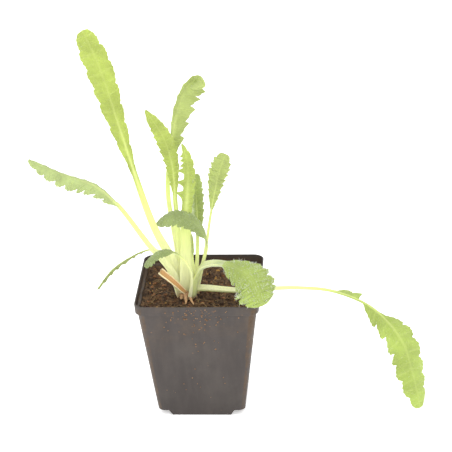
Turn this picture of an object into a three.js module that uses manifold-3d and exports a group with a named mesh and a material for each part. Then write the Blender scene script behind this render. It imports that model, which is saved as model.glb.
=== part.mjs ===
// A young oriental poppy in a 9 cm square nursery pot.
// The origin is the centre of the pot's underside, +Z is up, and the plant's best side faces -Y.
// Lengths are in millimetres and angles in degrees.
import * as THREE from "three";
import { mergeVertices } from "three/addons/utils/BufferGeometryUtils.js";
import Module from "manifold-3d";

const wasm = await Module();
wasm.setup();

// ---- Driving dimensions ----

const GAP = 0.3; // clearance between pieces that touch

const POT = {
  height: 95,
  rimWidth: 90, // across the outside of the rim
  rimFlare: 0.4, // how far the band leans out on its way up to the rim
  baseWidth: 63, // across the underside
  wall: 1,
  floor: 1.2,
  collarHeight: 7.5, // the upright band below the rim
  collarStep: 1.6, // how far the wall steps in below the band
  collarSlope: 0.6, // height of the sloping ledge under the band
  rimCorner: 8, // corner radii
  baseCorner: 5,
  footWidth: 43, // each arm of the plus-shaped foot, where it meets the ground
  footHeight: 4,
  footRun: 2.2, // how far out the foot's sides reach on their way up to the raised corners
  drainRadius: 1.6,
  drainPlaces: [[24.2, 28.3], [28.3, 24.2], [28.3, 28.3]], // in each raised corner
  drainSides: 8,
};

const COMPOST = {
  level: 87.5, // height of the surface
  relief: 0.8, // height of its bumps
  cells: 12, // grid cells across the surface
};

const CROWN = {
  centre: [-8, -13],
  // height and radius, from the taproot's tip to the shoulder
  outline: [[64, 1], [74, 2.6], [83, 4.6], [87, 6.4], [89, 5.8], [90.2, 3]],
  sides: 12,
};

const BLADE = {
  thickness: 0.7,
  sweep: 0.55, // how far a side vein runs towards the tip for each millimetre outwards
  tipWidth: 0.35, // half width of the last ring before the tip
  lastRing: 0.99, // place of that ring, as a share of the leaf's length
  narrowing: 0.75, // share of the midrib's width and of its thickness that is lost on the way to the tip
  thinning: 0.7,
  opening: [0.8, 1.6], // blade widths, in midrib widths, where a section starts and ends flattening
  // places along one tooth, from 0 to 1, each with how far it stands out: 1 is the tooth's point
  tooth: [[0.05, 0], [0.5, 0.7], [0.85, 1]],
};

const PETIOLE_RINGS = 7;
const STRAND_RINGS = 6;
const SHOULDER = 0.86; // thickness of a stalk halfway to its edges, as a share of its middle

// rib: the midrib from the crown to the tip
// face: where the upper side looks at the base, where the blade starts, and at the tip
// bladeStart: share of the length that is petiole
// petiole: width and thickness at the base, then where the blade starts
// halfWidth, rise, blunt: the blade's outline; sides: its left and right share of halfWidth
// starts: share of the blade where its left and right halves begin, 0 where not given
// lobes, depth: teeth on each margin, and how deep they cut
// fold: upward turn of both halves from the midrib; negative droops
const LEAVES = [
  {
    name: "toothed_centre_leaf",
    rib: [[-7, -13.5, 91], [-8, -12, 126], [-7, -10, 156], [-5, -8, 178], [-5, -9, 194], [-8, -12, 208]],
    face: [[0.2, -1, 0], [0.2, -1, 0.1], [0.3, -0.8, -0.4]],
    bladeStart: 0.5, petiole: [11, 3, 7.4, 2.6],
    halfWidth: 8, rise: 0.3, blunt: 1.8, sides: [1, 0.7], lobes: 6, depth: 0.5, fold: 22,
    color: "#b5cf52",
  },
  {
    name: "tall_left_leaf",
    rib: [[-12.5, -13, 91], [-17.5, -9, 111], [-32, -1, 139], [-45, 9, 176], [-57, 18, 215],
      [-68, 26, 251], [-79.5, 28, 280]],
    face: [[0.6, -0.8, 0.2], [0.35, -0.85, 0.4], [0.35, -0.85, 0.4]],
    bladeStart: 0.42, petiole: [7.5, 3, 5.6, 2.4],
    halfWidth: 11.4, rise: 0.7, blunt: 6, sides: [1.1, 0.85], lobes: 9, depth: 0.2, fold: 10,
    color: "#b7d04e",
  },
  {
    name: "hairy_front_leaf",
    rib: [[-4, -17.5, 91], [-1, -18, 107], [4, -22, 117], [14, -28, 122], [26, -37, 124],
      [39, -46, 120], [45, -51, 110], [49, -53, 100]],
    face: [[-0.8, 0.3, 0.3], [0.1, -0.5, 0.85], [0.25, -0.85, 0.45]],
    bladeStart: 0.5, petiole: [7.5, 4.6, 5.4, 4.8],
    halfWidth: 17, rise: 0.35, blunt: 4, sides: [1, 1], lobes: 4, depth: 0.22, fold: -8,
    color: "#9dbd6e",
  },
  {
    name: "long_right_leaf",
    rib: [[-5, -12, 91.8], [0, -13, 94.6], [6, -14.5, 95.4], [19, -17, 95.6], [34, -19.5, 96.2],
      [50, -21, 98.2], [72, -23, 99.8], [98, -27, 98.8], [126, -33, 88], [146, -39, 66], [154, -43, 42], [160, -46, 13]],
    face: [[0, -0.2, 1], [0.1, -0.3, 1], [0.55, -0.8, 0.2]],
    bladeStart: 0.47, petiole: [4.6, 4.2, 2.4, 1.8],
    halfWidth: 13.5, rise: 0.3, blunt: 3, sides: [1.05, 1], starts: [0.24, 0], lobes: 9, depth: 0.3,
    fold: -6,
    color: "#b3d04c",
  },
  {
    name: "left_arching_leaf",
    rib: [[-13.5, -17, 91], [-20, -14, 110], [-35, -13, 130], [-56, -12, 161], [-71, -13, 176],
      [-96, -15, 187], [-118, -15, 198]],
    face: [[0.6, -0.6, 0.5], [0.3, -0.55, 0.8], [0.2, -0.55, 0.8]],
    bladeStart: 0.52, petiole: [6, 2.8, 3.4, 2.2],
    halfWidth: 11, rise: 0.35, blunt: 2.2, sides: [1, 0.8], lobes: 8, depth: 0.3, fold: -42,
    color: "#a8c46a",
  },
  {
    name: "upright_leaf",
    rib: [[-10, -10, 91], [-13, -9, 124], [-15, -4, 156], [-17, 2, 187], [-23, 5, 207], [-35, 6, 227]],
    face: [[0.1, -1, 0], [0, -0.95, 0.3], [-0.1, -0.9, 0.3]],
    bladeStart: 0.48, petiole: [4, 2.6, 3.6, 2.2],
    halfWidth: 7.6, rise: 0.8, blunt: 2.2, sides: [1, 1], lobes: 8, depth: 0.2, fold: 8,
    color: "#a6c455",
  },
  {
    name: "tall_back_leaf",
    rib: [[-12.5, -8.5, 91], [-15.5, -4, 122], [-21, 4, 166], [-17, 9, 199], [-12, 12, 225],
      [-4, 12, 243], [3, 10, 249], [9, 4, 243]],
    face: [[0.3, -0.95, 0], [0.4, -0.85, 0.1], [0.2, -0.85, -0.2]],
    bladeStart: 0.5, petiole: [3.6, 2.4, 3.4, 2.2],
    halfWidth: 11, rise: 0.6, blunt: 5, sides: [0.4, 1.25], lobes: 7, depth: 0.3, fold: 20,
    color: "#a9c765",
  },
  {
    name: "shaded_leaf",
    rib: [[-4.5, -10, 91], [-1, -8, 114], [0, -4, 136], [0, -3, 153], [0, -4, 169], [1, -7, 183]],
    face: [[-0.2, -1, 0], [0.3, -0.9, 0.2], [0.4, -0.8, 0]],
    bladeStart: 0.45, petiole: [3, 2.2, 2.4, 1.8],
    halfWidth: 6, rise: 0.35, blunt: 2.5, sides: [1, 1], lobes: 6, depth: 0.22, fold: 14,
    color: "#8fb04e",
  },
  {
    name: "spoon_leaf",
    rib: [[-4.5, -6.5, 91], [3, -3, 111], [6, 0, 126], [9, 4, 144], [12, 7, 159], [15.5, 9, 174],
      [21.5, 8, 192]],
    face: [[-0.2, -1, 0], [-0.15, -0.95, 0.25], [-0.15, -0.95, 0.1]],
    bladeStart: 0.56, petiole: [3, 2, 1.7, 1.4],
    halfWidth: 7.6, rise: 0.6, blunt: 3.5, sides: [1.1, 0.95], lobes: 7, depth: 0.12, fold: 6,
    color: "#b4ca72",
  },
  {
    name: "small_arching_leaf",
    rib: [[-1.8, -9, 91], [4, -14, 116], [7.5, -18, 131], [5, -21, 143], [-3, -23, 153],
      [-15, -24, 157], [-28, -22, 150]],
    face: [[-0.3, -0.8, 0], [0.3, -0.6, 0.7], [-0.2, -0.6, 0.8]],
    bladeStart: 0.5, petiole: [2.6, 2, 1.7, 1.4],
    halfWidth: 8, rise: 0.4, blunt: 3, sides: [1, 1], lobes: 6, depth: 0.15, fold: -12,
    color: "#8fae5c",
  },
  {
    name: "curled_front_leaf",
    rib: [[-6, -21, 90], [-4, -24, 104], [-4, -26, 114], [-8, -28, 124], [-16, -28.5, 131],
      [-27, -27.5, 129], [-38, -24.5, 118]],
    face: [[-0.3, -0.8, 0], [-0.2, -0.4, 0.9], [-0.5, -0.5, 0.7]],
    bladeStart: 0.62, petiole: [2.2, 1.6, 1.5, 1.3],
    halfWidth: 5, rise: 0.3, blunt: 4, sides: [1, 1], lobes: 5, depth: 0.2, fold: -10,
    color: "#8fb07a",
  },
  {
    name: "low_left_leaf",
    rib: [[-14, -5, 90], [-19, 1, 108], [-27, 8, 114], [-39, 15, 112.5], [-53, 19, 104.5],
      [-67, 22, 93], [-80, 25, 75]],
    face: [[-0.3, -0.6, 0.7], [0, 0.4, 0.9], [-0.4, 0.4, 0.8]],
    bladeStart: 0.45, petiole: [2.2, 1.6, 1.7, 1.3],
    halfWidth: 4, rise: 0.3, blunt: 2, sides: [1, 1], lobes: 6, depth: 0.25, fold: -6,
    color: "#b2cd5c",
  },
  {
    name: "young_leaf",
    rib: [[-4, -14, 96.5], [-3.4, -14, 108], [-3.4, -14.5, 124], [-3.6, -15, 139]],
    face: [[0.9, -0.3, 0], [0.9, -0.3, 0], [0.9, -0.3, 0]],
    bladeStart: 0.6, petiole: [1.8, 1.4, 1.5, 1.2],
    halfWidth: 1.5, rise: 0.2, blunt: 2, sides: [1, 1], lobes: 2, depth: 0.1, fold: 20,
    color: "#b9d24f",
  },
];

// Strands have a flat cut at each end. sections: width and thickness at the two ends.
const STRANDS = [
  {
    name: "cut_petiole",
    rib: [[-8.4, -17.4, 92.5], [-11.8, -19.5, 97.3], [-18.4, -21, 104.9], [-26.5, -21, 112.4]],
    face: [0.5, -0.8, 0.4], sections: [5, 2.2, 4.4, 2], color: "#d9c489",
  },
  {
    name: "dry_sheath",
    rib: [[-6.6, -22.8, 90.2], [-4.8, -25, 90.4], [-3, -28, 89.6]],
    face: [-0.3, -0.5, 1], sections: [3, 0.9, 1.2, 0.7], color: "#8a6a44",
  },
];

// ---- Solids ----

const vectors = (points) => points.map((p) => new THREE.Vector3(...p));

// The manifold-3d solid of a closed three.js geometry.
function solidOf(geometry) {
  geometry.deleteAttribute("normal");
  geometry.deleteAttribute("uv");
  const merged = mergeVertices(geometry, 1e-4);
  return new wasm.Manifold(
    new wasm.Mesh({
      numProp: 3,
      vertProperties: merged.attributes.position.array,
      triVerts: new Uint32Array(merged.index.array),
    }),
  );
}

// The three.js geometry of a manifold-3d solid.
function geometryOf(solid) {
  const { vertProperties, triVerts } = solid.getMesh();
  const geometry = new THREE.BufferGeometry();
  geometry.setAttribute("position", new THREE.BufferAttribute(vertProperties, 3));
  geometry.setIndex(new THREE.BufferAttribute(triVerts, 1));
  geometry.computeVertexNormals();
  return geometry;
}

// A closed solid through rings of equal point counts, each counter-clockwise seen from the last ring.
function loft(rings, tip = null) {
  const count = rings[0].length;
  const points = rings.flat();
  const index = [];
  for (let row = 0; row + 1 < rings.length; row++) {
    for (let i = 0; i < count; i++) {
      const a = row * count + i;
      const b = row * count + ((i + 1) % count);
      index.push(a, b, b + count, a, b + count, a + count);
    }
  }
  const cap = (first, centre, flip) => {
    const hub = points.push(centre) - 1;
    for (let i = 0; i < count; i++) {
      const a = first + i;
      const b = first + ((i + 1) % count);
      index.push(...(flip ? [hub, b, a] : [hub, a, b]));
    }
  };
  const middle = (ring) =>
    ring.reduce((sum, p) => sum.add(p), new THREE.Vector3()).divideScalar(ring.length);
  cap(0, middle(rings[0]), true);
  cap((rings.length - 1) * count, tip ?? middle(rings.at(-1)), false);
  const geometry = new THREE.BufferGeometry().setFromPoints(points);
  geometry.setIndex(index);
  return solidOf(geometry);
}

// The largest of the closed bodies that a cut leaves.
const mainBody = (solid) =>
  solid.decompose().reduce((best, body) => (body.volume() > best.volume() ? body : best));

// ---- Pot and compost ----

// A square ring with round corners, at one height.
function squareRing(half, radius, z, arcSteps = 3) {
  const ring = [];
  for (let corner = 0; corner < 4; corner++) {
    for (let step = 0; step <= arcSteps; step++) {
      const angle = ((corner + step / arcSteps) * Math.PI) / 2;
      const turn = ((corner + 0.5) * Math.PI) / 2;
      const centre = (half - radius) * Math.SQRT2;
      ring.push(
        new THREE.Vector3(
          centre * Math.cos(turn) + radius * Math.cos(angle),
          centre * Math.sin(turn) + radius * Math.sin(angle),
          z,
        ),
      );
    }
  }
  return ring;
}

// The pot's outer form, moved in by inset; bottom and top are its lowest and highest levels.
function potForm(inset, bottom, top) {
  const ledge = POT.height - POT.collarHeight;
  const bandHalf = POT.rimWidth / 2 - POT.rimFlare;
  const bodyHalf = (z) => THREE.MathUtils.lerp(POT.baseWidth / 2, bandHalf - POT.collarStep, z / ledge);
  const corner = (z) => THREE.MathUtils.lerp(POT.baseCorner, POT.rimCorner, z / POT.height);
  const ring = (half, z) => squareRing(half - inset, Math.max(corner(z) - inset, 1), z);
  return loft([
    ring(bodyHalf(bottom), bottom),
    ring(bodyHalf(ledge), ledge),
    ring(bandHalf, ledge + POT.collarSlope),
    ring(POT.rimWidth / 2, top),
  ]);
}

// The four blocks outside the plus-shaped foot; grow makes them thicker for the hollow above them.
function cornerBlocks(grow) {
  const outer = POT.baseWidth;
  const start = POT.footWidth / 2 - grow;
  const rise = POT.footHeight + grow * (POT.floor / POT.wall);
  const below = 1;
  const flare = (below * POT.footRun) / POT.footHeight;
  const block = (sx, sy) => {
    const ring = (inner, z) => {
      const corners = [[inner, inner], [outer, inner], [outer, outer], [inner, outer]];
      const points = corners.map(([x, y]) => new THREE.Vector3(x * sx, y * sy, z));
      return sx * sy > 0 ? points : points.reverse();
    };
    return loft([ring(start - flare, -below), ring(start + POT.footRun, rise)]);
  };
  return block(1, 1).add(block(-1, 1)).add(block(-1, -1)).add(block(1, -1));
}

function makePot() {
  const outside = potForm(0, 0, POT.height).subtract(cornerBlocks(0));
  const inside = potForm(POT.wall, POT.floor, POT.height + 1).subtract(cornerBlocks(POT.wall));
  let pot = outside.subtract(inside);
  const drillLength = POT.footHeight + 3 * POT.floor;
  const drill = new THREE.CylinderGeometry(
    POT.drainRadius, POT.drainRadius, drillLength, POT.drainSides,
  );
  drill.rotateX(Math.PI / 2);
  for (const [sx, sy] of [[1, 1], [-1, 1], [-1, -1], [1, -1]]) {
    for (const [x, y] of POT.drainPlaces) {
      pot = pot.subtract(
        solidOf(drill.clone().translate(x * sx, y * sy, POT.footHeight + POT.floor / 2)),
      );
    }
  }
  return pot;
}

const compostHeight = (x, y) =>
  COMPOST.level + COMPOST.relief * (Math.sin(x / 7 + y / 19) * Math.cos(y / 8 - x / 23));

function makeCompost() {
  const cells = COMPOST.cells;
  const block = new THREE.BoxGeometry(POT.rimWidth, POT.rimWidth, 2, cells, cells, 1);
  const position = block.attributes.position;
  for (let i = 0; i < position.count; i++) {
    const top = position.getZ(i) > 0;
    position.setZ(i, top ? compostHeight(position.getX(i), position.getY(i)) : 0);
  }
  const inset = POT.wall + GAP;
  return potForm(inset, POT.floor + GAP, POT.height)
    .subtract(cornerBlocks(inset))
    .intersect(solidOf(block));
}

// ---- Plant ----

function makeCrown(grow = 0) {
  const [cx, cy] = CROWN.centre;
  const rings = CROWN.outline.map(([z, radius]) => {
    const ring = [];
    for (let i = 0; i < CROWN.sides; i++) {
      const angle = (i / CROWN.sides) * 2 * Math.PI;
      const reach = radius + grow;
      ring.push(new THREE.Vector3(cx + reach * Math.cos(angle), cy + reach * Math.sin(angle), z));
    }
    return ring;
  });
  for (const p of rings[0]) p.z -= grow;
  for (const p of rings.at(-1)) p.z += grow;
  return loft(rings);
}

const ACROSS = [-1, -0.5, 0, 0.5, 1, 0.5, 0, -0.5]; // places round a section, top side first
const UPPER = [0, -1, -1, -1, 0, 1, 1, 1]; // -1 above, 1 below, 0 on a margin

// One ring of a leaf: at is a point with its tangent and upper-side direction.
function sectionRing(at, { left, right, rib, skin, fold, sweep }) {
  const side = new THREE.Vector3().crossVectors(at.along, at.up);
  return ACROSS.map((x, i) => {
    const width = Math.abs(x) * (x < 0 ? left : right);
    const depth = Math.abs(x) < 0.1 ? rib : skin;
    return at.point
      .clone()
      .addScaledVector(side, Math.sign(x) * width * Math.cos(fold))
      .addScaledVector(at.up, width * Math.sin(fold) - UPPER[i] * depth)
      .addScaledVector(at.along, sweep * width);
  });
}

// A frame on the midrib, with the upper side turned as far towards face as it can be.
function ribFrame(curve, t, face) {
  const along = curve.getTangentAt(t);
  const up = face.clone().addScaledVector(along, -face.dot(along)).normalize();
  return { point: curve.getPointAt(t), along, up };
}

function bladeOutline(leaf) {
  const raw = (u) => u ** leaf.rise * Math.sqrt(1 - u ** leaf.blunt);
  let peak = 0;
  for (let u = 0; u < 1; u += 0.02) peak = Math.max(peak, raw(u));
  return (u) => (leaf.halfWidth * raw(u)) / peak;
}

// Row places along a leaf, each with how far the teeth stand out there: 1 at a tooth's point.
function leafRows(leaf) {
  const rows = [];
  for (let i = 0; i < PETIOLE_RINGS; i++) {
    rows.push({ t: (leaf.bladeStart * i) / PETIOLE_RINGS, tooth: 1 });
  }
  for (let lobe = 0; lobe < leaf.lobes; lobe++) {
    for (const [place, tooth] of BLADE.tooth) {
      const u = (lobe + place) / leaf.lobes;
      rows.push({ t: THREE.MathUtils.lerp(leaf.bladeStart, BLADE.lastRing, u), tooth });
    }
  }
  rows.push({ t: BLADE.lastRing, tooth: 1 });
  return rows;
}

function makeLeaf(leaf, grow = 0) {
  const curve = new THREE.CatmullRomCurve3(vectors(leaf.rib), false, "centripetal");
  const outline = bladeOutline(leaf);
  const faces = vectors(leaf.face);
  const [baseWidth, baseThick, endWidth, endThick] = leaf.petiole;
  const rings = leafRows(leaf).map(({ t, tooth }) => {
    const u = Math.max(0, (t - leaf.bladeStart) / (1 - leaf.bladeStart));
    const down = Math.min(1, t / leaf.bladeStart);
    const face =
      u > 0
        ? faces[1].clone().lerp(faces[2], u)
        : faces[0].clone().lerp(faces[1], down);
    const petioleHalf =
      THREE.MathUtils.lerp(baseWidth, endWidth, down) * 0.5 * (1 - BLADE.narrowing * u);
    const ribHalf = THREE.MathUtils.lerp(baseThick, endThick, down) * 0.5 * (1 - BLADE.thinning * u);
    const cut = 1 - leaf.depth * (1 - tooth);
    const half = (side) => {
      const start = leaf.starts?.[side] ?? 0;
      const begun = THREE.MathUtils.smoothstep(u, start - 0.02, start + 0.05);
      const reach = outline(u) * leaf.sides[side] * cut * begun;
      return Math.max(petioleHalf, reach, BLADE.tipWidth) + grow;
    };
    const blade = THREE.MathUtils.smoothstep(outline(u) / petioleHalf, ...BLADE.opening);
    return sectionRing(ribFrame(curve, t, face), {
      left: half(0),
      right: half(1),
      rib: ribHalf + grow,
      skin: THREE.MathUtils.lerp(ribHalf * SHOULDER, BLADE.thickness / 2, blade) + grow,
      fold: THREE.MathUtils.degToRad(leaf.fold) * blade,
      sweep: BLADE.sweep * blade * (1 - u),
    });
  });
  return loft(rings, curve.getPointAt(1));
}

function makeStrand(strand, grow = 0) {
  const curve = new THREE.CatmullRomCurve3(vectors(strand.rib), false, "centripetal");
  const face = new THREE.Vector3(...strand.face);
  const [baseWidth, baseThick, endWidth, endThick] = strand.sections;
  const rings = [];
  for (let i = 0; i < STRAND_RINGS; i++) {
    const t = i / (STRAND_RINGS - 1);
    const half = THREE.MathUtils.lerp(baseWidth, endWidth, t) / 2 + grow;
    const depth = THREE.MathUtils.lerp(baseThick, endThick, t) / 2 + grow;
    rings.push(
      sectionRing(ribFrame(curve, t, face), {
        left: half, right: half, rib: depth, skin: depth * SHOULDER, fold: 0, sweep: 0,
      }),
    );
  }
  return loft(rings);
}

// ---- Assembly ----

const part = new THREE.Group();

function addPiece(name, solid, color, roughness) {
  const material = new THREE.MeshStandardMaterial({ color, roughness, metalness: 0 });
  const mesh = new THREE.Mesh(geometryOf(solid), material);
  mesh.name = name;
  part.add(mesh);
}

addPiece("pot", makePot(), "#57504c", 0.55);
addPiece("crown", makeCrown(), "#b39a5c", 0.7);

// Each piece of the plant is cut back, with a gap, from the pieces placed before it.
let taken = makeCrown(GAP);
const growing = [
  ...LEAVES.map((leaf) => ({ ...leaf, make: makeLeaf })),
  ...STRANDS.map((strand) => ({ ...strand, make: makeStrand })),
];
for (const piece of growing) {
  addPiece(piece.name, mainBody(piece.make(piece).subtract(taken)), piece.color, 0.6);
  taken = taken.add(piece.make(piece, GAP));
}
addPiece("compost", mainBody(makeCompost().subtract(taken)), "#3b2a20", 0.95);

export default part;
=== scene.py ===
"""A young oriental poppy in a square nursery pot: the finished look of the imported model.

Leaf routes and pot sizes repeat the construction's, in millimetres, and MM turns them into metres.
Every random draw is seeded, so each run gives the same plant.
"""

import math

import bmesh
import bpy
import numpy as np
from mathutils import Matrix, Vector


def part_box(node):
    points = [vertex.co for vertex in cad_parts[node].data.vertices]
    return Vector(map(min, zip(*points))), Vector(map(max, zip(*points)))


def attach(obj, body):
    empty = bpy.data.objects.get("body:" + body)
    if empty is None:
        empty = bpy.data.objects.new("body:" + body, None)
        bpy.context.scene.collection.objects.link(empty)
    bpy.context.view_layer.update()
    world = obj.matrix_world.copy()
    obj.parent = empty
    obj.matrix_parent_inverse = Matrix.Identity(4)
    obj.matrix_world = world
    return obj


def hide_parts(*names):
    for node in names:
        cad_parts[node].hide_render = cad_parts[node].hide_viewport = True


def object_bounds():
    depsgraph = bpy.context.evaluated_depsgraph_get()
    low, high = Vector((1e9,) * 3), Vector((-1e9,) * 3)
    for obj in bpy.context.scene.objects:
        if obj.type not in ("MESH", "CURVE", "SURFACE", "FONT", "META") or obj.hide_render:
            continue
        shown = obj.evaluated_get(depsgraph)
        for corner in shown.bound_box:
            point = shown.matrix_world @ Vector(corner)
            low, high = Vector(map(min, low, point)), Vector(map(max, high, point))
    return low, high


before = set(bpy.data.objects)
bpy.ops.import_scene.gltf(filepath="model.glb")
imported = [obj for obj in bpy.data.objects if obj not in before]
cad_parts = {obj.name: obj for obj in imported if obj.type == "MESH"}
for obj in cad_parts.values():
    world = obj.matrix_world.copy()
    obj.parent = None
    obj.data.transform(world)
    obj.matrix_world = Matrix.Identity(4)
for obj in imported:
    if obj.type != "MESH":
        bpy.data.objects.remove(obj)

CAD_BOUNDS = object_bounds()
MM = 0.001
POT_LOW, POT_HIGH = (np.array(corner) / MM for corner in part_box("pot"))

# ---- Camera, floor and light ----

AZIMUTH, ELEVATION, ROLL = (math.radians(angle) for angle in (4.24, 24.2, 2.04))
DISTANCE = 1.5  # metres from the camera to the point it looks at
LENS = 165.3  # millimetres, on a 36 mm sensor
LOOK_AT = (20.4, 0.0, POT_HIGH[2] + 43.4)  # millimetres: a little right of the pot, above its rim


def make_camera():
    back = np.array([
        math.sin(AZIMUTH) * math.cos(ELEVATION),
        -math.cos(AZIMUTH) * math.cos(ELEVATION),
        math.sin(ELEVATION),
    ])
    level = np.array([math.cos(AZIMUTH), math.sin(AZIMUTH), 0.0])
    upright = np.cross(back, level)
    right = math.cos(ROLL) * level - math.sin(ROLL) * upright
    top = math.sin(ROLL) * level + math.cos(ROLL) * upright
    place = np.array(LOOK_AT) * MM + back * DISTANCE
    camera = bpy.data.objects.new("camera", bpy.data.cameras.new("camera"))
    camera.data.lens = LENS
    camera.data.sensor_width = 36
    camera.data.clip_end = 20
    rows = np.eye(4)
    rows[:3, 0] = right
    rows[:3, 1] = top
    rows[:3, 2] = back
    rows[:3, 3] = place
    camera.matrix_world = Matrix(rows.tolist())
    bpy.context.scene.collection.objects.link(camera)
    bpy.context.scene.camera = camera


def aim(obj, place, target):
    """Puts obj at place with its -Z axis towards target."""
    back = np.array(place, float) - np.array(target, float)
    back /= np.linalg.norm(back)
    side = np.cross((0.0, 0.0, 1.0), back)
    if np.linalg.norm(side) < 1e-6:
        side = np.array([1.0, 0.0, 0.0])
    side /= np.linalg.norm(side)
    rows = np.eye(4)
    rows[:3, 0] = side
    rows[:3, 1] = np.cross(back, side)
    rows[:3, 2] = back
    rows[:3, 3] = place
    obj.matrix_world = Matrix(rows.tolist())


def add_softbox(name, place, target, size, watts, colour=(1.0, 1.0, 1.0)):
    light = bpy.data.lights.new(name, "AREA")
    light.shape = "SQUARE"
    light.size = size
    light.energy = watts
    light.color = colour
    obj = bpy.data.objects.new(name, light)
    bpy.context.scene.collection.objects.link(obj)
    aim(obj, place, target)


def make_studio():
    scene = bpy.context.scene
    scene.view_settings.view_transform = "Standard"
    scene.view_settings.look = "None"
    world = bpy.data.worlds.new("studio")
    scene.world = world
    world.use_nodes = True
    sky = world.node_tree.nodes["Background"]
    sky.inputs["Color"].default_value = (1.0, 1.0, 1.0, 1.0)
    sky.inputs["Strength"].default_value = 1.4
    middle = (0.0, 0.0, 0.12)
    add_softbox("overhead", (-0.1, -0.4, 1.5), middle, 1.2, 5)
    add_softbox("front_fill", (0.4, -1.6, 0.6), middle, 1.2, 7)

    mesh = bpy.data.meshes.new("floor")
    reach = 6.0
    mesh.from_pydata([(-reach, -reach, 0), (reach, -reach, 0), (reach, reach, 0), (-reach, reach, 0)],
                     [], [(0, 1, 2, 3)])
    floor = bpy.data.objects.new("floor", mesh)
    scene.collection.objects.link(floor)
    material = Material("floor")
    material.shader("Base Color", (0.97, 0.97, 0.97, 1.0))
    material.shader("Roughness", 0.9)
    material.shader("Specular IOR Level", 0.1)
    material.shader("Emission Color", (1.0, 1.0, 1.0, 1.0))
    material.shader("Emission Strength", 0.35)
    mesh.materials.append(material.data)


# ---- Materials ----

class Material:
    """A node material around one Principled shader, with short calls for the nodes used here."""

    def __init__(self, name):
        self.data = bpy.data.materials.new(name)
        self.data.use_nodes = True
        self.tree = self.data.node_tree
        self.principled = self.tree.nodes["Principled BSDF"]
        self.output = self.tree.nodes["Material Output"]

    def node(self, kind, **settings):
        made = self.tree.nodes.new(kind)
        for key, value in settings.items():
            setattr(made, key, value)
        return made

    def join(self, value, socket):
        if isinstance(value, bpy.types.NodeSocket):
            self.tree.links.new(value, socket)
        else:
            socket.default_value = value

    def shader(self, name, value):
        self.join(value, self.principled.inputs[name])

    def place(self):
        return self.node("ShaderNodeTexCoord").outputs["Object"]

    def stretched(self, scale):
        mapping = self.node("ShaderNodeMapping")
        self.join(self.place(), mapping.inputs["Vector"])
        mapping.inputs["Scale"].default_value = scale
        return mapping.outputs["Vector"]

    def noise(self, scale, detail=3.0, roughness=0.55, vector=None, distortion=0.0):
        made = self.node("ShaderNodeTexNoise")
        self.join(vector or self.place(), made.inputs["Vector"])
        made.inputs["Scale"].default_value = scale
        made.inputs["Detail"].default_value = detail
        made.inputs["Roughness"].default_value = roughness
        made.inputs["Distortion"].default_value = distortion
        return made.outputs["Fac"]

    def cells(self, scale, feature="DISTANCE_TO_EDGE", vector=None):
        made = self.node("ShaderNodeTexVoronoi", feature=feature)
        self.join(vector or self.place(), made.inputs["Vector"])
        made.inputs["Scale"].default_value = scale
        return made.outputs["Distance"]

    def ramp(self, value, low, high):
        """0 below low, 1 above high, smooth between."""
        made = self.node("ShaderNodeMapRange", interpolation_type="SMOOTHSTEP")
        self.join(value, made.inputs["Value"])
        made.inputs["From Min"].default_value = low
        made.inputs["From Max"].default_value = high
        return made.outputs["Result"]

    def math(self, operation, a, b=0.0):
        made = self.node("ShaderNodeMath", operation=operation)
        self.join(a, made.inputs[0])
        self.join(b, made.inputs[1])
        return made.outputs[0]

    def mix(self, factor, a, b):
        made = self.node("ShaderNodeMix", data_type="RGBA")
        self.join(factor, made.inputs["Factor"])
        self.join(a if isinstance(a, bpy.types.NodeSocket) else rgba(a), made.inputs[6])
        self.join(b if isinstance(b, bpy.types.NodeSocket) else rgba(b), made.inputs[7])
        return made.outputs[2]

    def attribute(self, name):
        return self.node("ShaderNodeAttribute", attribute_name=name)

    def bump(self, height, depth, strength=1.0, after=None):
        made = self.node("ShaderNodeBump")
        self.join(height, made.inputs["Height"])
        made.inputs["Distance"].default_value = depth
        made.inputs["Strength"].default_value = strength
        if after is not None:
            self.join(after, made.inputs["Normal"])
        return made.outputs["Normal"]

    def let_light_through(self, colour, share, normal):
        """Mixes share of a translucent shader into the surface."""
        through = self.node("ShaderNodeBsdfTranslucent")
        self.join(colour, through.inputs["Color"])
        self.join(normal, through.inputs["Normal"])
        both = self.node("ShaderNodeMixShader")
        both.inputs["Fac"].default_value = share
        self.tree.links.new(self.principled.outputs["BSDF"], both.inputs[1])
        self.tree.links.new(through.outputs["BSDF"], both.inputs[2])
        self.tree.links.new(both.outputs["Shader"], self.output.inputs["Surface"])


def rgba(colour):
    return (*colour, 1.0)


def shade(colour, factor):
    return tuple(min(1.0, channel * factor) for channel in colour)


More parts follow.
